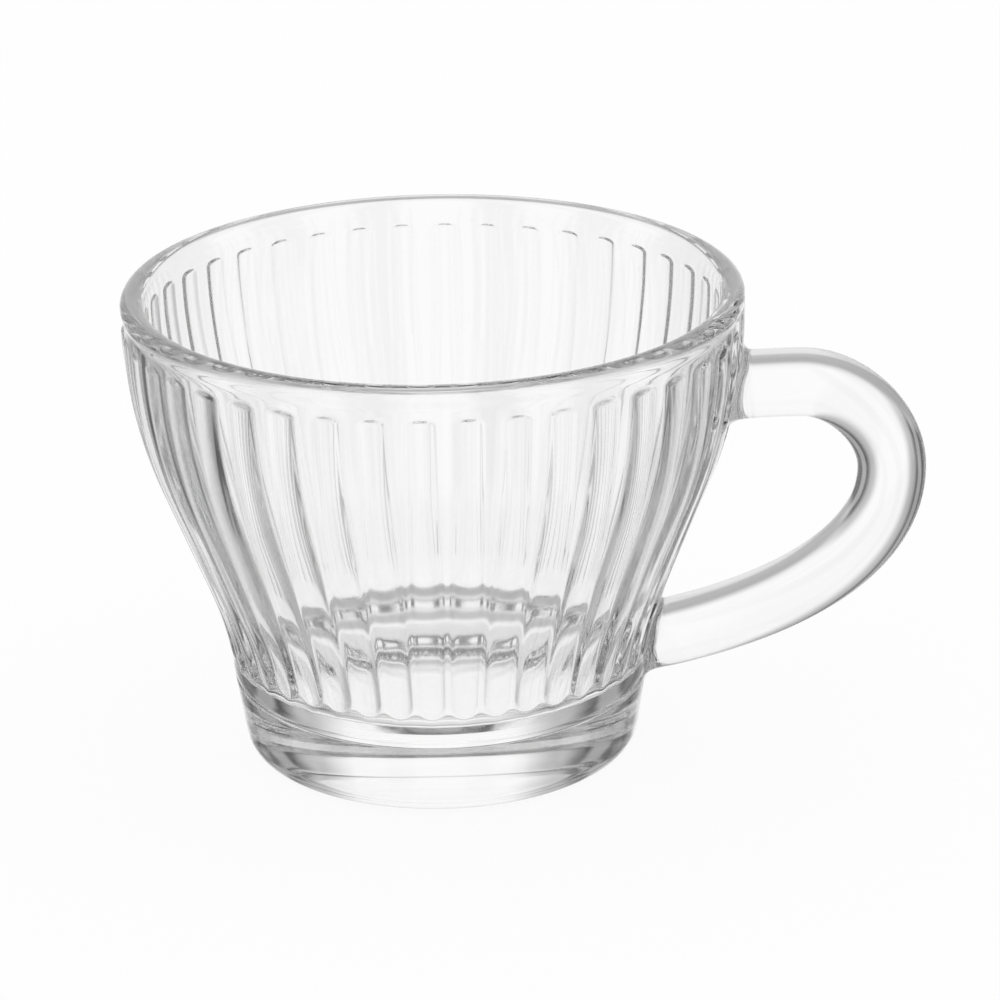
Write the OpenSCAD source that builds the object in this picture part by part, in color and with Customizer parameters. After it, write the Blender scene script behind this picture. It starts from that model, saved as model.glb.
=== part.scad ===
// Pressed glass coffee cup with a ribbed bowl, a plain solid foot and a loop handle.
// Millimetres, +Z up. The origin is on the cup's axis, on the surface that the cup stands on.
// The handle points along +X.

/* [Cup] */
// Outer diameter of the rim
rim_d = 80; // [70:1:100]
// Height from the resting surface to the top of the rim
cup_h = 63; // [56:1:80]
// Thickness of the bowl's wall
wall_t = 3; // [2.4:0.1:4]
// Thickness of the bowl's own floor, above the foot
floor_t = 0.8; // [0.6:0.1:4]
// Rounding between the inside wall and the floor
floor_r = 1.8; // [1:0.2:5]
// Flat left on top of the rim between its inner and outer rounding
lip_flat = 0.4; // [0.2:0.1:1]

/* [Wall curve] */
// Height from the rim down to the corner that the shoulder rounds
shoulder_drop = 14.5; // [12:0.5:20]
// Radius of the shoulder
shoulder_r = 60; // [30:1:65]
// Height from the foot up to the corner that the waist rounds
waist_rise = 7; // [6:0.5:12]
// Radius of the waist
waist_r = 46; // [20:1:50]
// Lean of the wall at the foot, in degrees from upright
waist_lean = 6.8; // [3:0.1:9]

/* [Ribs] */
// Number of ribs around the whole bowl, counting those that the handle covers
rib_count = 42; // [30:2:54]
// Height of a rib at the shoulder
rib_h = 0.4; // [0.2:0.05:0.8]
// Height of a rib at the waist
rib_waist_h = 0.4; // [0.2:0.05:0.8]
// Share of the spacing that a rib takes up, the rest being the valley
rib_share = 0.86; // [0.6:0.02:0.94]
// Plain band between the top of the rim and the tops of the ribs
rim_band = 4; // [3.5:0.5:8]
// Plain band between the foot and the bottoms of the ribs
waist_band = 3.2; // [1:0.2:5]
// Height of a rib's round end
rib_end = 1.8; // [1:0.2:3]
// Ribs left out behind the handle, so that it has a plain land to join
land_ribs = 2; // [2:2:4]

/* [Foot] */
// Height of the foot
foot_h = 11; // [8:0.5:13]
// Diameter of the foot where it meets the bowl
foot_d = 54.2; // [46:0.2:60]
// Lean of the foot's side, in degrees from upright
foot_lean = 9; // [4:0.5:12]
// Rounding of the foot's lower edge
foot_edge_r = 3.5; // [1:0.5:5]
// Diameter of the hollow under the foot
hollow_d = 36; // [20:1:38]
// Depth of the hollow under the foot
hollow_h = 1.5; // [0.5:0.1:3]

/* [Handle] */
// Thickness of the handle in the plane of the loop
handle_t = 8.9; // [6:0.1:10]
// Width of the handle across the loop
handle_w = 9; // [6:0.1:11]
// Height from the rim down to the axis of the upper arm
handle_drop = 13.5; // [11:0.5:18]
// Reach of the handle's axis beyond the rim
handle_reach = 18.9; // [15:0.1:26]
// Radius of the upper bend
handle_bend_r = 11.6; // [8:0.1:13]
// Height from the foot up to the axis of the lower arm where it joins the bowl
handle_rise = 3.1; // [2.6:0.1:8]
// Rise of the lower arm, in degrees from level
handle_lean = 11; // [5:1:25]
// Spread of the handle where it joins the bowl, as a share of its thickness
root_spread = 0.16; // [0:0.02:0.4]

/* [Hidden] */
$fn = 96;
glass = [0.86, 0.9, 0.88];

// Radii and levels
rim_r = rim_d / 2;
lip_r = (wall_t - lip_flat) / 2;
foot_r = foot_d / 2;
floor_z = foot_h + floor_t;
mouth_z = cup_h - lip_r;
shoulder_z = cup_h - shoulder_drop;
waist_z = foot_h + waist_rise;

// The wall's outer line: upright band, shoulder arc, straight slope, waist arc, leaning waist
shoulder_share = 0.6;
waist_share = 0.35;
shoulder_corner = [rim_r, shoulder_z];
waist_corner = [foot_r + waist_rise * tan(waist_lean), waist_z];
slope_run = shoulder_corner - waist_corner;
wall_lean = atan(slope_run.x / slope_run.y);
slope_dir = [sin(wall_lean), cos(wall_lean)];
waist_dir = [sin(waist_lean), cos(waist_lean)];
shoulder_turn = wall_lean;
waist_turn = wall_lean - waist_lean;
shoulder_room = min(shoulder_drop - lip_r, norm(slope_run) * shoulder_share);
waist_room = min(waist_rise / cos(waist_lean), norm(slope_run) * waist_share);
shoulder_reach = min(shoulder_r * tan(shoulder_turn / 2), shoulder_room);
waist_reach = min(waist_r * tan(waist_turn / 2), waist_room);
shoulder_fit_r = shoulder_reach / tan(shoulder_turn / 2);
waist_fit_r = waist_reach / tan(waist_turn / 2);
shoulder_centre = [rim_r - shoulder_fit_r, shoulder_z + shoulder_reach];
waist_start = waist_corner - waist_reach * waist_dir;
waist_centre = waist_start + waist_fit_r * [cos(waist_lean), -sin(waist_lean)];
shoulder_low_z = shoulder_z - shoulder_reach * slope_dir.y;
waist_high_z = waist_z + waist_reach * slope_dir.y;

// Outer radius of the wall at a height
function wall_at(z) =
    z >= shoulder_centre.y ? rim_r
    : z >= shoulder_low_z ? shoulder_centre.x + sqrt(shoulder_fit_r ^ 2 - (z - shoulder_centre.y) ^ 2)
    : z >= waist_high_z ? waist_corner.x + (z - waist_z) * tan(wall_lean)
    : z >= waist_start.y ? waist_centre.x - sqrt(waist_fit_r ^ 2 - (z - waist_centre.y) ^ 2)
    : foot_r + (z - foot_h) * tan(waist_lean);

function levels(low, high, steps) = [for (i = [0:steps]) low + (high - low) * i / steps];

function arc(centre, r, from, to, steps) =
    [for (a = levels(from, to, steps)) centre + r * [cos(a), sin(a)]];

// Ribs: round ends and a long body. Their crests lie on the wall's outer line, and the valleys,
// and the plain band under the lip, lie below it
body_steps = 10;
end_steps = 3;
lip_steps = 4;
rib_power = 3;
rib_fade = min(3, 1.6 * waist_band);
lip_fade = 1.6;
rib_top_z = cup_h - rim_band;
rib_low_z = foot_h + waist_band;
body_low_z = rib_low_z + rib_end;
body_high_z = rib_top_z - rib_end;
rib_cuts = [-1, -0.6, 0, 0.6, 1];
function smooth_step(low, high, v) = let (t = min(1, max(0, (v - low) / (high - low)))) t * t * (3 - 2 * t);
function past_body(z) = z > body_high_z ? z - body_high_z : z < body_low_z ? body_low_z - z : 0;
function height_at(z) = lookup(z, [[body_low_z, rib_waist_h], [body_high_z, rib_h]]);
function valley_share(z) =
    smooth_step(rib_low_z - rib_fade / 2, rib_low_z + rib_fade / 2, z)
    * (1 - smooth_step(mouth_z - lip_fade, mouth_z, z));
function rib_bulge(side, z) = max(0, 1 - (side ^ 2 + (past_body(z) / rib_end) ^ 2) ^ (rib_power / 2));
function rib_drop(side, z) = height_at(z) * (valley_share(z) - rib_bulge(side, z));

// A rib is left out where the handle's land covers it
function on_land(i) = i < land_ribs / 2 || i >= rib_count - land_ribs / 2;
function rib_angle(i, side) = (i + 0.5 + side * rib_share / 2) * 360 / rib_count;

// Heights of the rings of points, closer together at the ribs' round ends
function end_levels(low, high) = [for (a = levels(0, 90, end_steps)) low + (high - low) * sin(a)];
low_levels = [for (a = levels(90, 0, end_steps)) body_low_z + (rib_low_z - body_low_z) * sin(a)];
body_levels = levels(body_low_z, body_high_z, body_steps);
ring_levels = concat(
    [foot_h, rib_low_z - rib_fade / 2],
    low_levels,
    [for (i = [1:body_steps - 1]) body_levels[i]],
    end_levels(body_high_z, rib_top_z),
    [mouth_z - lip_fade, mouth_z - lip_fade / 2]
);
lip_line = arc([rim_r - lip_r, cup_h - lip_r], lip_r, 0, 90, lip_steps);

function ribbed_ring(z) = [
    for (i = [0:rib_count - 1], side = rib_cuts)
        let (
            a = rib_angle(i, side),
            r = wall_at(z) - (on_land(i) ? 0 : rib_drop(side, z))
        )
        [r * cos(a), r * sin(a), z]
];
function plain_ring(p) = [
    for (i = [0:rib_count - 1], side = rib_cuts)
        let (a = rib_angle(i, side))
        [p.x * cos(a), p.x * sin(a), p.y]
];

// Closed skin over a stack of rings that all have the same number of points
function skin_faces(rings, sides) = concat(
    [[for (k = [0:sides - 1]) k]],
    [
        for (i = [0:rings - 2], k = [0:sides - 1])
            let (a = i * sides + k, b = i * sides + (k + 1) % sides)
            each [[a, a + sides, b], [b, a + sides, b + sides]]
    ],
    [[for (k = [sides - 1:-1:0]) (rings - 1) * sides + k]]
);
module skin(rings) {
    polyhedron(points = [for (ring = rings) each ring], faces = skin_faces(len(rings), len(rings[0])));
}

// Inside of the bowl, from the floor's rounding up to the rounded mouth
cavity_steps = 20;
floor_steps = 6;
cavity_over = 1;
floor_corner_z = floor_z + floor_r;
mouth_r = rim_r - wall_t + 2 * lip_r;
cavity_levels = levels(floor_corner_z, mouth_z, cavity_steps);
function inside_at(z) = wall_at(z) - wall_t;
cavity_line = concat(
    [[0, floor_z]],
    arc([inside_at(floor_corner_z) - floor_r, floor_corner_z], floor_r, -90, 0, floor_steps),
    [for (i = [1:cavity_steps]) [inside_at(cavity_levels[i]), cavity_levels[i]]],
    arc([mouth_r - lip_r, mouth_z], lip_r, 180, 90, lip_steps),
    [[mouth_r - lip_r, cup_h + cavity_over], [0, cup_h + cavity_over]]
);

module bowl() {
    color(glass)
    difference() {
        skin(concat(
            [for (z = ring_levels) ribbed_ring(z)],
            [for (p = lip_line) plain_ring(p)]
        ));
        rotate_extrude() polygon(cavity_line);
    }
}

// Foot: leaning side, round lower edge, and a shallow dome pressed into the underside
dome_steps = 8;
edge_steps = 8;
foot_edge_angle = 90 - foot_lean;
foot_low_r = foot_r - foot_h * tan(foot_lean);
foot_edge_in = foot_edge_r * tan(foot_edge_angle / 2);
foot_edge_centre = [foot_low_r - foot_edge_in, foot_edge_r];
hollow_r = hollow_d / 2;
dome_r = (hollow_r ^ 2 + hollow_h ^ 2) / (2 * hollow_h);
dome_half = asin(hollow_r / dome_r);
foot_line = concat(
    arc([0, hollow_h - dome_r], dome_r, 90, 90 - dome_half, dome_steps),
    arc(foot_edge_centre, foot_edge_r, -90, -foot_lean, edge_steps),
    [[foot_r, foot_h], [0, foot_h]]
);

module foot() {
    color(glass)
    rotate_extrude() polygon(foot_line);
}

// Handle: its axis runs in the XZ plane from the shoulder, round the loop, to the waist
bend_pull = 0.5;
lower_drop = 12.6;
lower_run = 17.8;
root_sink = 1.5;
root_fade = 1.6;
root_fall = 0.3;
upper_root = [wall_at(cup_h - handle_drop) - root_sink, cup_h - handle_drop - root_fall];
bend_start = [rim_r + handle_reach - handle_bend_r, cup_h - handle_drop];
bend_end = [rim_r + handle_reach, cup_h - handle_drop - handle_bend_r];
lower_root = [wall_at(foot_h + handle_rise) - root_sink, foot_h + handle_rise];
upper_pull = (bend_start.x - upper_root.x) / 3;
arm_curves = [
    [upper_root, upper_root + [upper_pull, 0], bend_start - [upper_pull, 0], bend_start],
    [
        bend_start,
        bend_start + [handle_bend_r * bend_pull, 0],
        bend_end + [0, handle_bend_r * bend_pull],
        bend_end
    ],
    [
        bend_end,
        bend_end - [0, lower_drop],
        lower_root + lower_run * [cos(handle_lean), sin(handle_lean)],
        lower_root
    ]
];
arm_steps = [5, 8, 18];
section_sides = 24;
outside_steps = 40;

function curve_point(c, t) =
    (1 - t) ^ 3 * c[0] + 3 * (1 - t) ^ 2 * t * c[1] + 3 * (1 - t) * t ^ 2 * c[2] + t ^ 3 * c[3];
function curve_way(c, t) =
    let (d = (1 - t) ^ 2 * (c[1] - c[0]) + 2 * (1 - t) * t * (c[2] - c[1]) + t ^ 2 * (c[3] - c[2]))
    d / norm(d);
arm_places = [
    for (k = [0:2], i = [k == 0 ? 0 : 1:arm_steps[k]])
        [curve_point(arm_curves[k], i / arm_steps[k]), curve_way(arm_curves[k], i / arm_steps[k])]
];
function root_scale(p) =
    let (away = max(0, p.x - wall_at(p.y)))
    1 + root_spread * exp(-away / root_fade);
function arm_ring(place) =
    let (p = place[0], way = place[1], side = [-way.y, way.x], grow = root_scale(p))
    [
        for (k = [0:section_sides - 1])
            let (
                a = -k * 360 / section_sides,
                q = p + side * grow * handle_t / 2 * cos(a)
            )
            [q.x, grow * handle_w / 2 * sin(a), q.y]
    ];

module bowl_outside() {
    rotate_extrude()
    polygon(concat(
        [[0, 0], [foot_low_r, 0]],
        [for (z = levels(foot_h, cup_h, outside_steps)) [wall_at(z), z]],
        [[0, cup_h]]
    ));
}

module handle() {
    color(glass)
    difference() {
        skin([for (place = arm_places) arm_ring(place)]);
        bowl_outside();
    }
}

bowl();
foot();
handle();
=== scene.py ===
import math
import bmesh
import bpy
from mathutils import Matrix, Vector


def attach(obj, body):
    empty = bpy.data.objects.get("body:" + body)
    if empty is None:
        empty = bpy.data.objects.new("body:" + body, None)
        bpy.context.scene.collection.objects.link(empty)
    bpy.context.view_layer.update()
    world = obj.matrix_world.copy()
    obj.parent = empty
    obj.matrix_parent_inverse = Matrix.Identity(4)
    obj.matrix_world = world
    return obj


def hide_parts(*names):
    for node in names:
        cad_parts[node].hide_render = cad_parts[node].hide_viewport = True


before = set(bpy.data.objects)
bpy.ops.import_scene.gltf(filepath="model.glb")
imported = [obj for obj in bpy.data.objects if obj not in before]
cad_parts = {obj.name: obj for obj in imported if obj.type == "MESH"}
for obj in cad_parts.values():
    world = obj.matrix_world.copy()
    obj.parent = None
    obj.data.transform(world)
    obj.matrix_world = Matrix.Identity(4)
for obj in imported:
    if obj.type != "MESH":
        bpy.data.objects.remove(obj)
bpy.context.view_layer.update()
scene = bpy.context.scene
mm = 0.001
fullTurn = 2 * math.pi
mergeGap = 1e-6  # metres, for points that are one
slopeStep = 0.1  # millimetres, to measure a slope
glassFace, jointFace = 0, 1  # places of the two materials on each piece
print("frame loaded:", sorted(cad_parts))


# colours and nodes
def hexColour(code):  # sRGB hex to linear
    parts = [int(code[i:i + 2], 16) / 255 for i in (1, 3, 5)]
    return [c / 12.92 if c <= 0.04045 else ((c + 0.055) / 1.055) ** 2.4 for c in parts] + [1.0]


def addNode(tree, kind, settings=None, **inputs):  # a node, its settings, then its sockets: values or links
    node = tree.nodes.new(kind)
    for key, value in (settings or {}).items():
        setattr(node, key, value)
    for key, value in inputs.items():
        socket = node.inputs[int(key[1:]) if key[0] == "s" and key[1:].isdigit() else key.replace("_", " ")]
        if isinstance(value, bpy.types.NodeSocket):
            tree.links.new(value, socket)
        else:
            socket.default_value = value
    return node


# the cup's outer line, in millimetres
cup = {
    "rimRadius": 40.0, "height": 63.0, "wall": 3.0, "lipFlat": 0.4,
    "footHeight": 11.0, "footRadius": 27.1, "footLean": 9.0, "footEdge": 3.5,
    "hollowRadius": 18.0, "hollowHeight": 1.5, "floorThick": 0.8, "floorRound": 3.2,
    "shoulderDrop": 14.5, "shoulderRound": 60.0, "waistRise": 7.0, "waistRound": 46.0, "waistLean": 6.8,
    "creaseDepth": 0.2, "creaseHalf": 0.35,  # the joint line between bowl and foot
}
rib = {
    "count": 42, "top": 59.0, "low": 14.2, "topEnd": 0.85, "lowEnd": 1.8, "land": 1, "landFade": 0.25,
    "height": (0.35, 0.38), "share": (0.86, 0.62), "power": (3.0, 2.5), "edge": (0.08, 0.15),  # waist, top
    "blend": (28.0, 52.0), "fade": 3.0, "lipFade": 1.6,  # levels from waist to top, and how the ribs fade
    "columns": (0, 0.06, 0.1, 0.15, 0.2, 0.26, 0.37, 0.5,  # shares of the pitch, closer on the flanks
                0.63, 0.74, 0.8, 0.85, 0.9, 0.94),
}
columnsPerRib = len(rib["columns"])
columnCount = rib["count"] * columnsPerRib
lipRadius = (cup["wall"] - cup["lipFlat"]) / 2
ribLowEnd, ribHighEnd = rib["low"] + rib["lowEnd"], rib["top"] - rib["topEnd"]
floorLevel = cup["footHeight"] + cup["floorThick"]
mouthLevel = cup["height"] - lipRadius

shoulderLevel = cup["height"] - cup["shoulderDrop"]
waistLevel = cup["footHeight"] + cup["waistRise"]
waistLean, footLean = math.radians(cup["waistLean"]), math.radians(cup["footLean"])
waistTan, footTan = math.tan(waistLean), math.tan(footLean)
waistCorner = cup["footRadius"] + cup["waistRise"] * waistTan
slopeTan = (cup["rimRadius"] - waistCorner) / (shoulderLevel - waistLevel)
slopeLean = math.atan(slopeTan)
shoulderHalfTan = math.tan(slopeLean / 2)
waistHalfTan = math.tan((slopeLean - waistLean) / 2)
shoulderReach = min(cup["shoulderRound"] * shoulderHalfTan, cup["shoulderDrop"] - lipRadius)
waistReach = min(cup["waistRound"] * waistHalfTan, cup["waistRise"] / math.cos(waistLean))
shoulderRound = shoulderReach / shoulderHalfTan
waistRound = waistReach / waistHalfTan
shoulderCentre = (cup["rimRadius"] - shoulderRound, shoulderLevel + shoulderReach)
waistStart = (waistCorner - waistReach * math.sin(waistLean), waistLevel - waistReach * math.cos(waistLean))
waistCentre = (waistStart[0] + waistRound * math.cos(waistLean),
               waistStart[1] - waistRound * math.sin(waistLean))
shoulderLow = shoulderLevel - shoulderReach * math.cos(slopeLean)
waistHigh = waistLevel + waistReach * math.cos(slopeLean)


def wallRadius(z):  # the line of the ribs' crests, and the foot's side below it
    if z >= shoulderCentre[1]:
        return cup["rimRadius"]
    if z >= shoulderLow:
        return shoulderCentre[0] + math.sqrt(shoulderRound ** 2 - (z - shoulderCentre[1]) ** 2)
    if z >= waistHigh:
        return waistCorner + (z - waistLevel) * slopeTan
    if z >= waistStart[1]:
        return waistCentre[0] - math.sqrt(waistRound ** 2 - (z - waistCentre[1]) ** 2)
    if z >= cup["footHeight"]:
        return cup["footRadius"] + (z - cup["footHeight"]) * waistTan
    return cup["footRadius"] - (cup["footHeight"] - z) * footTan


def wallSlope(z):  # millimetres out for each millimetre up
    return (wallRadius(z + slopeStep) - wallRadius(z - slopeStep)) / (2 * slopeStep)


def smoothStep(low, high, value):
    t = min(1.0, max(0.0, (value - low) / (high - low)))
    return t * t * (3 - 2 * t)


def ribDrop(angle, z):  # how far the outside lies below the line of the ribs' crests
    sunk = smoothStep(rib["low"] - rib["fade"] / 2, rib["low"] + rib["fade"] / 2, z)
    sunk *= 1 - smoothStep(mouthLevel - rib["lipFade"], mouthLevel, z)
    turn = (angle / fullTurn * rib["count"]) % rib["count"]
    up = smoothStep(*rib["blend"], z)
    ends = map(rib.get, ("height", "share", "power", "edge"))
    height, share, power, edge = (low + (high - low) * up for low, high in ends)
    away = min(turn, rib["count"] - turn)
    if away < rib["land"]:  # plain crest level under the handle
        return height * sunk * smoothStep(rib["land"] - rib["landFade"], rib["land"], away)
    side = (turn % 1 - 0.5) * 2 / share
    past = max(0.0, (z - ribHighEnd) / rib["topEnd"], (ribLowEnd - z) / rib["lowEnd"])
    bulge = 1 - math.hypot(side, past) ** power
    bulge = (bulge + math.sqrt(bulge ** 2 + edge ** 2)) / 2  # rounds the line where a rib meets its valley
    return height * (sunk - bulge)


def outerPlace(angle, z):  # a point of the outside, in metres
    crease = cup["creaseDepth"] * max(0.0, 1 - abs(z - cup["footHeight"]) / cup["creaseHalf"])
    r = wallRadius(z) - ribDrop(angle, z) - crease
    return Vector((r * math.cos(angle), r * math.sin(angle), z)) * mm


def steps(low, high, count):
    return [low + (high - low) * i / count for i in range(count + 1)]


def arcLine(centre, radius, fromDeg, toDeg, count):
    turns = [math.radians(a) for a in steps(fromDeg, toDeg, count)]
    return [(centre[0] + radius * math.cos(a), centre[1] + radius * math.sin(a)) for a in turns]


# rows of the outside, from the foot's side up to the lip
rows = {
    "dome": 10, "rest": 3, "edge": 12, "side": 7, "ribLow": 5, "rib": 81,  # steps of each stretch
    "ribHigh": 6, "rim": 8, "lip": 8, "inner": 32, "corner": 8, "floor": 4,
    "sideEven": 8.4, "sideLevels": (9.2, 10.0), "waistLevels": (12.2, 13.2),  # levels near the crease
}
footLowRadius = cup["footRadius"] - cup["footHeight"] * footTan
edgeIn = cup["footEdge"] * math.tan((math.pi / 2 - footLean) / 2)
edgeCentre = (footLowRadius - edgeIn, cup["footEdge"])
domeRadius = (cup["hollowRadius"] ** 2 + cup["hollowHeight"] ** 2) / (2 * cup["hollowHeight"])
domeHalf = math.degrees(math.asin(cup["hollowRadius"] / domeRadius))
sideStart = edgeCentre[1] - cup["footEdge"] * math.sin(footLean)
sideRows = steps(sideStart, rows["sideEven"], rows["side"])[1:] + list(rows["sideLevels"])
sideRows += [cup["footHeight"] - cup["creaseHalf"], cup["footHeight"]]
waistRows = [cup["footHeight"] + cup["creaseHalf"], *rows["waistLevels"], rib["low"]]
ribLowRows = [ribLowEnd - rib["lowEnd"] * math.cos(a) for a in steps(0, math.pi / 2, rows["ribLow"])][1:]
ribRows = steps(ribLowEnd, ribHighEnd, rows["rib"])[1:]
ribHighRows = steps(ribHighEnd, rib["top"], rows["ribHigh"])[1:]
rimRows = steps(rib["top"], mouthLevel, rows["rim"])[1:]
wallRows = waistRows + ribLowRows + ribRows + ribHighRows + rimRows

domeLine = arcLine((0, cup["hollowHeight"] - domeRadius), domeRadius, 90, 90 - domeHalf, rows["dome"])
restLine = [(r, 0.0) for r in steps(cup["hollowRadius"], edgeCentre[0], rows["rest"])[1:-1]]
edgeLine = arcLine(edgeCentre, cup["footEdge"], -90, -cup["footLean"], rows["edge"])
lipLine = arcLine((cup["rimRadius"] - lipRadius, mouthLevel), lipRadius, 0, 90, rows["lip"])[1:]
innerLipCentre = (cup["rimRadius"] - cup["wall"] + lipRadius, mouthLevel)
innerLip = arcLine(innerLipCentre, lipRadius, 90, 180, rows["lip"])
cornerLevel = floorLevel + cup["floorRound"]
innerRows = steps(mouthLevel, cornerLevel, rows["inner"])[1:]
innerLine = [(wallRadius(z) - cup["wall"], z) for z in innerRows]
cornerCentre = (innerLine[-1][0] - cup["floorRound"], cornerLevel)
cornerLine = arcLine(cornerCentre, cup["floorRound"], 0, -90, rows["corner"])[1:]
floorLine = [(cornerLine[-1][0] * share, floorLevel) for share in steps(1.0, 0.0, rows["floor"])[1:]]
outerLine = [(wallRadius(z), z) for z in sideRows + wallRows]
bodyLine = domeLine + restLine + edgeLine + outerLine + lipLine
bodyLine += innerLip + innerLine + cornerLine + floorLine
firstOuter = len(domeLine) + len(restLine) + len(edgeLine)
creaseRow = firstOuter + len(sideRows) - 1
lastOuter = firstOuter + len(outerLine) - 1


# the body: the line is spun, then the outside takes its ribs
def spinBody():
    body = bmesh.new()
    rowOf = body.verts.layers.int.new("row")
    columnOf = body.verts.layers.int.new("column")
    points = []
    for i, (r, z) in enumerate(bodyLine):
        point = body.verts.new((r * mm, 0, z * mm))
        point[rowOf] = i
        points.append(point)
    line = [body.edges.new(pair) for pair in zip(points, points[1:])]
    bmesh.ops.spin(body, geom=points + line, cent=(0, 0, 0), axis=(0, 0, 1), angle=fullTurn,
                   steps=columnCount, use_merge=True)
    bmesh.ops.remove_doubles(body, verts=body.verts[:], dist=mergeGap)  # closes the poles
    for v in body.verts:
        r = math.hypot(v.co.x, v.co.y)
        if r < mergeGap:
            continue
        column = round(math.atan2(v.co.y, v.co.x) / fullTurn * columnCount) % columnCount
        pitch, step = divmod(column, columnsPerRib)
        angle = (pitch + rib["columns"][step]) / rib["count"] * fullTurn
        v[columnOf] = column
        if firstOuter <= v[rowOf] <= lastOuter:
            v.co = outerPlace(angle, bodyLine[v[rowOf]][1])
        else:
            v.co = (r * math.cos(angle), r * math.sin(angle), v.co.z)
    bmesh.ops.recalc_face_normals(body, faces=body.faces[:])
    body.normal_update()
    return body, rowOf, columnOf


body, rowOf, columnOf = spinBody()
print("body spun:", len(body.faces), "faces")
grid = {(v[rowOf], v[columnOf]): v for v in body.verts if firstOuter <= v[rowOf] <= lastOuter}


# the handle, in millimetres: its axis runs in the XZ plane from the shoulder round the loop to the waist
handle = {
    "thick": 8.9, "wide": 9.0, "drop": 13.5, "reach": 18.9, "bend": 11.6, "rise": 3.1, "lean": 11.0,
    "bendPull": 0.5, "lowerDrop": 12.6, "lowerRun": 17.8, "sink": 1.5, "fall": 0.3,
    "fillet": {"upper": 1.3, "lower": 1.0}, "stand": {"upper": 2.0, "lower": 2.8},
    "ringGap": 0.8, "collarSteps": 4, "filletSteps": 8, "filletPull": 0.55,
    "curveSteps": 200, "chord": 3,  # points of the axis to each side that set its direction
}
upperLevel = cup["height"] - handle["drop"]
lowerLevel = cup["footHeight"] + handle["rise"]
bendX = cup["rimRadius"] + handle["reach"]
upperRoot = Vector((wallRadius(upperLevel) - handle["sink"], upperLevel - handle["fall"]))
bendStart = Vector((bendX - handle["bend"], upperLevel))
bendEnd = Vector((bendX, upperLevel - handle["bend"]))
lowerRoot = Vector((wallRadius(lowerLevel) - handle["sink"], lowerLevel))
upperPull = Vector(((bendStart.x - upperRoot.x) / 3, 0))
bendPull = handle["bend"] * handle["bendPull"]
lowerLean = math.radians(handle["lean"])
armCurves = [
    (upperRoot, upperRoot + upperPull, bendStart - upperPull, bendStart),
    (bendStart, bendStart + Vector((bendPull, 0)), bendEnd + Vector((0, bendPull)), bendEnd),
    (bendEnd, bendEnd - Vector((0, handle["lowerDrop"])),
     lowerRoot + handle["lowerRun"] * Vector((math.cos(lowerLean), math.sin(lowerLean))), lowerRoot),
]


def bezier(a, b, c, d, t):
    return a * (1 - t) ** 3 + b * 3 * (1 - t) ** 2 * t + c * 3 * (1 - t) * t ** 2 + d * t ** 3


curveShares = steps(0.0, 1.0, handle["curveSteps"])[1:]
axisPoints = [bezier(*curve, t) for curve in armCurves for t in curveShares]
axisOut = [p.x - wallRadius(p.y) for p in axisPoints]
startIndex = next(i for i, out in enumerate(axisOut) if out > handle["stand"]["upper"])
endIndex = max(i for i, out in enumerate(axisOut) if out > handle["stand"]["lower"])
clearOfWall = [p.y for p, out in zip(axisPoints, axisOut) if out > 0]
wallCross = {"upper": clearOfWall[0], "lower": clearOfWall[-1]}  # levels at which the axis meets the wall
axisPoints = axisPoints[startIndex - 1:endIndex + 2]
travel = [0.0]
for a, b in zip(axisPoints, axisPoints[1:]):
    travel.append(travel[-1] + (b - a).length)


def axisAt(distance):  # a point of the axis and its direction
    i = max(1, next((k for k, t in enumerate(travel) if t >= distance), len(travel) - 1))
    share = (distance - travel[i - 1]) / (travel[i] - travel[i - 1])
    low, high = max(0, i - 1 - handle["chord"]), min(len(axisPoints) - 1, i + handle["chord"])
    way = (axisPoints[high] - axisPoints[low]).normalized()
    return axisPoints[i - 1].lerp(axisPoints[i], share), way


def ringPlace(point, way, turn):
    outward = Vector((-way.y, way.x)) * handle["thick"] / 2 * math.cos(turn)
    across = handle["wide"] / 2 * math.sin(turn)
    return Vector((point.x + outward.x, across, point.y + outward.y)) * mm


# each root covers a block of the wall: rows and columns of the body's mesh
roots = {  # lowest row and count of rows, columns to each side, and the axis's way: out of the wall or in
    "upper": {"rows": (creaseRow + 60, 29), "half": 16, "sign": 1},
    "lower": {"rows": (creaseRow - 4, 21), "half": 20, "sign": -1},
}


def rootBlock(root):  # the block's rim, starting at the handle's outer side, and its faces
    low, count = root["rows"]
    high, half, sign = low + count, root["half"], root["sign"]
    outer, inner = (high, low) if sign > 0 else (low, high)
    rim = [(outer, c) for c in range(half)]
    rim += [(r, half) for r in range(outer, inner, -sign)]
    rim += [(inner, c) for c in range(half, -half, -1)]
    rim += [(r, -half) for r in range(inner, outer, sign)]
    rim += [(outer, c) for c in range(-half, 0)]
    inside = {grid[r, c % columnCount] for r in range(low, high + 1) for c in range(-half, half + 1)}
    faces = [f for f in body.faces if all(v in inside for v in f.verts)]
    return [grid[r, c % columnCount] for r, c in rim], faces


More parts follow.
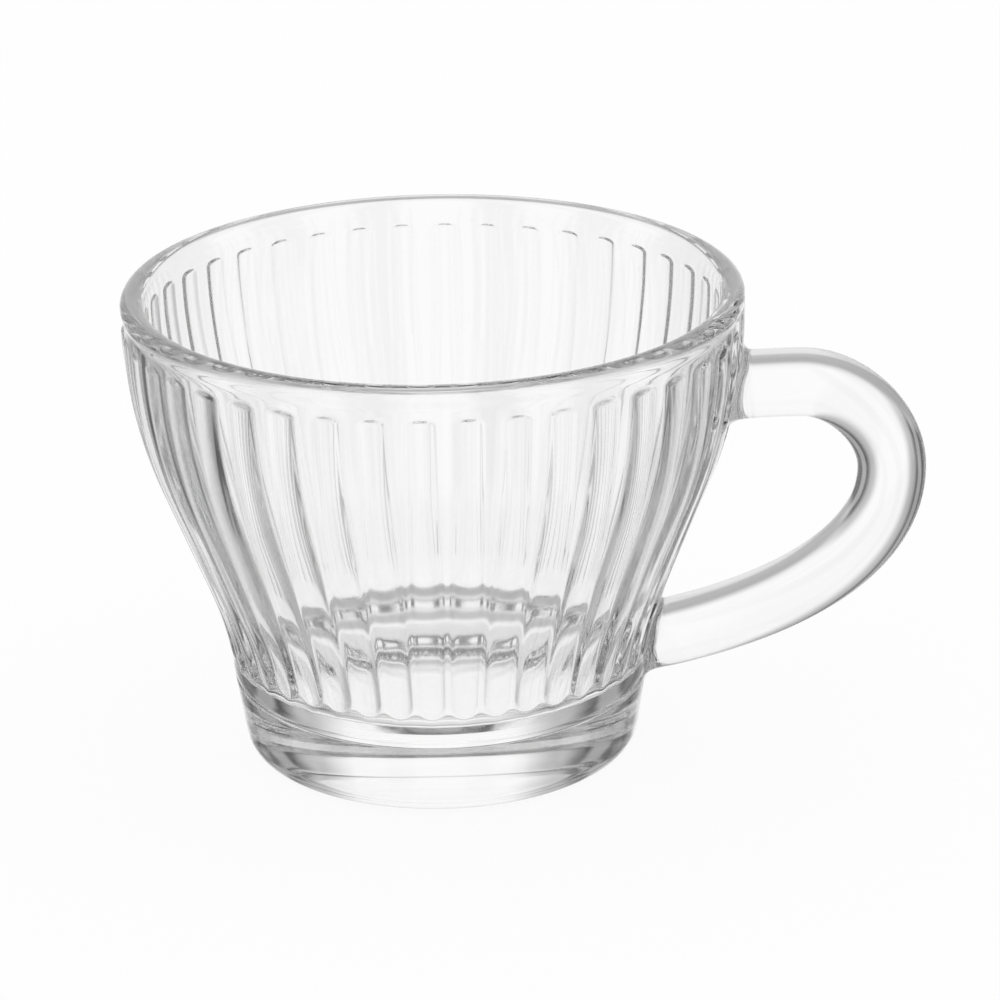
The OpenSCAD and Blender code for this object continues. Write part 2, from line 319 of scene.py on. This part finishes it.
def rootRings(name, tubePlaces, way):  # rings from the wall out to the tube: flat collar, then fillet
    root, fillet = roots[name], handle["fillet"][name]
    sign, rim = root["sign"], root["rim"]
    wallTurn = math.atan(wallSlope(root["centre"]))
    tilt = abs(math.atan2(sign * way.y, sign * way.x) + wallTurn)
    halfWide = handle["wide"] / 2 + fillet
    halfTall = handle["thick"] / 2 / math.cos(tilt) + fillet
    outWay = Vector((way.x, 0, way.y)) * sign
    rings = [[] for _ in range(handle["collarSteps"] + handle["filletSteps"])]
    for v, turn, tube in zip(rim, root["turns"], tubePlaces):
        angle, z = math.atan2(v.co.y, v.co.x), v.co.z / mm
        seatZ = root["centre"] + sign * halfTall * math.cos(turn)
        seatAngle = math.asin(halfWide * math.sin(turn) / wallRadius(seatZ))
        for k in range(handle["collarSteps"]):
            share = (k + 1) / handle["collarSteps"]
            rings[k].append(outerPlace(angle + (seatAngle - angle) * share, z + (seatZ - z) * share))
        seat = outerPlace(seatAngle, seatZ)
        normal = Vector((math.cos(seatAngle), math.sin(seatAngle), -wallSlope(seatZ))).normalized()
        run = tube - seat
        along = (run - normal * run.dot(normal)) * handle["filletPull"]
        up = outWay * run.dot(outWay) * handle["filletPull"]
        for k in range(handle["filletSteps"]):
            t = (k + 1) / handle["filletSteps"]
            rings[handle["collarSteps"] + k].append(bezier(seat, seat + along, tube - up, tube, t))
    return rings


def pushRing(mesh, ring, places):  # extrudes the open edge and puts the new ring in its place
    edges = [mesh.edges.get((a, b)) for a, b in zip(ring, ring[1:] + ring[:1])]
    made = bmesh.ops.extrude_edge_only(mesh, edges=edges)["geom"]
    fresh = {v for v in made if isinstance(v, bmesh.types.BMVert)}
    after = [next(e.other_vert(v) for e in v.link_edges if e.other_vert(v) in fresh) for v in ring]
    for f in made:
        if isinstance(f, bmesh.types.BMFace):
            f.material_index = glassFace
    for v, place in zip(after, places):
        v.co = place
    return after


for name, root in roots.items():
    root["rim"], root["faces"] = rootBlock(root)
    root["centre"] = wallCross[name]
    low, high = min(v.co.z for v in root["rim"]), max(v.co.z for v in root["rim"])
    wide = max(v.co.y for v in root["rim"])
    upright = root["sign"] / (high - low)
    root["turns"] = [math.atan2(v.co.y / wide, upright * (v.co.z * 2 - low - high)) % fullTurn
                     for v in root["rim"]]
    print(name, "root:", len(root["rim"]), "points on its rim,", len(root["faces"]), "faces")


def placeKey(v):  # finds a point again in a copy of its mesh
    return tuple(round(c / mm, 4) for c in v.co)


def makeHandle():
    mesh = body.copy()
    bmesh.ops.delete(mesh, geom=[f for f in mesh.faces if f.material_index == glassFace], context="FACES")
    found = {placeKey(v): v for v in mesh.verts}
    rims = {name: [found[placeKey(v)] for v in root["rim"]] for name, root in roots.items()}
    count = round(travel[-1] / handle["ringGap"])
    tubes = []
    for i in range(count + 1):
        share = i / count
        point, way = axisAt(travel[-1] * share)
        turns = [a + (b - a) * share for a, b in zip(roots["upper"]["turns"], roots["lower"]["turns"])]
        tubes.append([ringPlace(point, way, turn) for turn in turns])
    rings = rootRings("upper", tubes[0], axisAt(0)[1]) + tubes[1:]
    rings += list(reversed(rootRings("lower", tubes[-1], axisAt(travel[-1])[1])))[1:]
    rings.append([v.co.copy() for v in rims["lower"]])
    ring = rims["upper"]
    for places in rings:
        ring = pushRing(mesh, ring, places)
    bmesh.ops.remove_doubles(mesh, verts=ring + rims["lower"], dist=mergeGap)
    bmesh.ops.recalc_face_normals(mesh, faces=mesh.faces[:])
    return mesh


def closeJoint(mesh):  # the flat face where bowl and foot meet
    rim = [e for e in mesh.edges if e.is_boundary]
    made = bmesh.ops.contextual_create(mesh, geom=rim, mat_nr=jointFace)["faces"]
    bmesh.ops.poke(mesh, faces=made)
    bmesh.ops.recalc_face_normals(mesh, faces=mesh.faces[:])


def keepPart(mesh, footPart):  # leaves the foot or the bowl
    row = mesh.verts.layers.int["row"]
    gone = [f for f in mesh.faces if (max(v[row] for v in f.verts) <= creaseRow) != footPart]
    bmesh.ops.delete(mesh, geom=gone, context="FACES")
    closeJoint(mesh)
    return mesh


for root in roots.values():
    for f in root["faces"]:
        f.material_index = jointFace
handleMesh = makeHandle()
print("handle drawn:", len(handleMesh.faces), "faces")
footMesh = keepPart(body.copy(), True)
bowlMesh = keepPart(body, False)

# materials
glassValues = {"colour": "#FFFFFF", "ior": 1.52, "rough": (0.03, 0.06), "waveMm": 9.0, "waveDepthMm": 0.02}
jointSharp = 0.9  # below this cosine an edge round a mating face stays sharp


def emptyTree(owner):  # the bare node tree of a material or a world
    owner.use_nodes = True
    owner.node_tree.nodes.clear()
    return owner.node_tree


def pressedGlass(name, values):  # soda-lime glass, pressed and fire-polished, with slow waves in its skin
    material = bpy.data.materials.new(name)
    tree = emptyTree(material)
    place = addNode(tree, "ShaderNodeTexCoord").outputs["Object"]
    wave = addNode(tree, "ShaderNodeTexNoise", Vector=place, Scale=1 / (values["waveMm"] * mm), Detail=1.0)
    skin = addNode(tree, "ShaderNodeBump", Height=wave.outputs["Fac"], Strength=1.0,
                   Distance=values["waveDepthMm"] * mm)
    smoothest, roughest = values["rough"]
    rough = addNode(tree, "ShaderNodeMapRange", s0=wave.outputs["Fac"], s3=smoothest, s4=roughest)
    shader = addNode(tree, "ShaderNodeBsdfPrincipled", Base_Color=hexColour(values["colour"]),
                     IOR=values["ior"], Transmission_Weight=1.0, Roughness=rough.outputs[0],
                     Normal=skin.outputs[0])
    addNode(tree, "ShaderNodeOutputMaterial", Surface=shader.outputs[0])
    return material


def fusedFace(name):  # glass against glass: no surface is there for light to meet
    material = bpy.data.materials.new(name)
    tree = emptyTree(material)
    shader = addNode(tree, "ShaderNodeBsdfPrincipled", Alpha=0.0, Roughness=0.0)
    addNode(tree, "ShaderNodeOutputMaterial", Surface=shader.outputs[0])
    return material


glass = pressedGlass("pressedSodaLimeGlass", glassValues)
fused = fusedFace("fusedGlassJoint")


def finishPiece(mesh, name, node):
    for f in mesh.faces:
        f.smooth = True
    for e in mesh.edges:
        faces = e.link_faces
        if len(faces) == 2 and faces[0].material_index != faces[1].material_index:
            e.smooth = faces[0].normal.dot(faces[1].normal) > jointSharp
    data = bpy.data.meshes.new(name)
    mesh.to_mesh(data)
    mesh.free()
    piece = bpy.data.objects.new(name, data)
    scene.collection.objects.link(piece)
    data.materials.append(glass)
    data.materials.append(fused)
    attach(piece, "root")
    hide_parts(node)
    return piece


bowlPiece = finishPiece(bowlMesh, "ribbedBowl", "bowl")
footPiece = finishPiece(footMesh, "plainFoot", "foot")
handlePiece = finishPiece(handleMesh, "loopHandle", "handle")
print("pieces:", [(p.name, len(p.data.polygons)) for p in (bowlPiece, footPiece, handlePiece)])

# studio
studio = {
    "floorSize": 6.0, "floorColour": "#F6F6F6", "floorWhite": 0.93, "skyLight": 0.95,  # size in metres
    "white": (1, 1, 1, 1),
    # what glass sees all round: degrees from +Y to either side, and tone
    "round": ((0, 0.97), (15, 0.97), (28, 0.5), (38, 0.1), (42, 0.4), (49, 0.4), (54, 0.1),
              (77, 0.1), (83, 0.9), (97, 0.9), (104, 0.1), (120, 0.12), (127, 0.9), (143, 0.9),
              (150, 0.12), (160, 0.12), (168, 0.95), (180, 0.95)),
    # under and over it: height of the direction, tone and cover; the darker tones below are painted shade,
    # standing in for the floor's shade under the cup
    "below": ((-1.0, 0.75, 1.0), (-0.92, 0.75, 1.0), (-0.86, 0.47, 1.0), (-0.74, 0.45, 1.0),
              (-0.58, 0.95, 0.0)),
    "above": ((0.85, 0.95, 0.0), (0.95, 0.03, 1.0), (1.0, 0.03, 1.0)),
}


def seenRays(tree):  # rays that show what glass mirrors or lets through, and rays straight from the camera
    path = addNode(tree, "ShaderNodeLightPath")
    look = addNode(tree, "ShaderNodeMath", {"operation": "MAXIMUM"}, s0=path.outputs["Is Glossy Ray"],
                   s1=path.outputs["Is Transmission Ray"])
    return look.outputs[0], path.outputs["Is Camera Ray"]


def makeFloor():
    mesh = bmesh.new()
    bmesh.ops.create_grid(mesh, x_segments=4, y_segments=4, size=studio["floorSize"] / 2)
    data = bpy.data.meshes.new("studioFloor")
    mesh.to_mesh(data)
    mesh.free()
    floor = bpy.data.objects.new("studioFloor", data)
    scene.collection.objects.link(floor)
    material = bpy.data.materials.new("paleStudioPaper")  # white paper, clear to the rays that glass sends on
    tree = emptyTree(material)
    look, camera = seenRays(tree)
    paper = addNode(tree, "ShaderNodeBsdfDiffuse", Color=hexColour(studio["floorColour"]))
    clear = addNode(tree, "ShaderNodeBsdfTransparent", Color=studio["white"])
    glow = addNode(tree, "ShaderNodeEmission", Color=studio["white"], Strength=1.0)
    share = addNode(tree, "ShaderNodeMath", {"operation": "MULTIPLY"}, s0=camera, s1=studio["floorWhite"])
    first = addNode(tree, "ShaderNodeMixShader", s0=look, s1=paper.outputs[0], s2=clear.outputs[0])
    both = addNode(tree, "ShaderNodeMixShader", s0=share.outputs[0], s1=first.outputs[0],
                   s2=glow.outputs[0])
    addNode(tree, "ShaderNodeOutputMaterial", Surface=both.outputs[0])
    data.materials.append(material)


def toneRamp(tree, place, stops):  # stops: position, grey level, cover
    ramp = addNode(tree, "ShaderNodeValToRGB", Fac=place)
    ramp.color_ramp.interpolation = "EASE"
    elements = ramp.color_ramp.elements
    while len(elements) < len(stops):
        elements.new(1.0)
    for element, (position, tone, cover) in zip(elements, stops):
        element.position = position
        element.color = (tone, tone, tone, cover)
    return ramp


def makeWorld():  # white behind the cup, with dark cards further round and overhead, as is usual; below, painted shade stands in for the floor's shade under the cup, as glass sees it
    world = bpy.data.worlds.new("studioAir")
    scene.world = world
    tree = emptyTree(world)
    look, camera = seenRays(tree)
    place = addNode(tree, "ShaderNodeTexCoord").outputs["Generated"]
    parts = addNode(tree, "ShaderNodeSeparateXYZ", Vector=place)
    across = addNode(tree, "ShaderNodeMath", {"operation": "ABSOLUTE"}, s0=parts.outputs["X"])
    angle = addNode(tree, "ShaderNodeMath", {"operation": "ARCTAN2"}, s0=across.outputs[0],
                    s1=parts.outputs["Y"])
    turn = addNode(tree, "ShaderNodeMath", {"operation": "DIVIDE"}, s0=angle.outputs[0], s1=math.pi)
    height = addNode(tree, "ShaderNodeMapRange", s0=parts.outputs["Z"], s1=-1.0, s2=1.0)
    sides = toneRamp(tree, turn.outputs[0], [(a / 180, tone, 1.0) for a, tone in studio["round"]])
    stops = [((z + 1) / 2, tone, cover) for z, tone, cover in studio["below"] + studio["above"]]
    poles = toneRamp(tree, height.outputs[0], stops)
    # the steep-down tones mixed in here are painted shade of the floor under the cup
    cardsAndPaintedShade = addNode(tree, "ShaderNodeMix", {"data_type": "RGBA"}, s0=poles.outputs["Alpha"],
                    s6=sides.outputs["Color"], s7=poles.outputs["Color"])
    seen = addNode(tree, "ShaderNodeBackground", Color=cardsAndPaintedShade.outputs[2], Strength=1.0)
    light = addNode(tree, "ShaderNodeBackground", Color=studio["white"], Strength=studio["skyLight"])
    white = addNode(tree, "ShaderNodeBackground", Color=studio["white"], Strength=1.0)
    first = addNode(tree, "ShaderNodeMixShader", s0=look, s1=light.outputs[0], s2=seen.outputs[0])
    both = addNode(tree, "ShaderNodeMixShader", s0=camera, s1=first.outputs[0], s2=white.outputs[0])
    addNode(tree, "ShaderNodeOutputWorld", Surface=both.outputs[0])


makeFloor()
makeWorld()
print("studio set")

# camera, from the photo's vanishing and outlines
view = {
    "distanceMm": 650.0, "aim": (8.13, 0.0, 33.4),
    "elevation": 20.84, "roll": -1.1, "turn": 1.96,  # degrees
    "lens": 180.0, "sensor": 36.0, "nearest": 0.01,
}
bounces = {"max": 32, "transmission": 32, "glossy": 16, "transparent": 32}  # light crosses many walls


def makeCamera():
    tilt, roll = math.radians(view["elevation"]), math.radians(view["roll"])
    right, up = Vector((1, 0, 0)), Vector((0, math.sin(tilt), math.cos(tilt)))
    forward = Vector((0, math.cos(tilt), -math.sin(tilt)))
    across = right * math.cos(roll) + up * math.sin(roll)
    upward = up * math.cos(roll) - right * math.sin(roll)
    eye = Vector(view["aim"]) - forward * view["distanceMm"]
    placed = Matrix((across, upward, -forward)).transposed().to_4x4()
    placed.translation = eye * mm
    data = bpy.data.cameras.new("photoCamera")
    data.lens, data.sensor_width, data.clip_start = view["lens"], view["sensor"], view["nearest"]
    camera = bpy.data.objects.new("photoCamera", data)
    camera.matrix_world = Matrix.Rotation(math.radians(view["turn"]), 4, "Z") @ placed
    scene.collection.objects.link(camera)
    scene.camera = camera


makeCamera()
scene.view_settings.view_transform = "Standard"
scene.cycles.max_bounces = bounces["max"]
scene.cycles.transmission_bounces = bounces["transmission"]
scene.cycles.glossy_bounces = bounces["glossy"]
scene.cycles.transparent_max_bounces = bounces["transparent"]
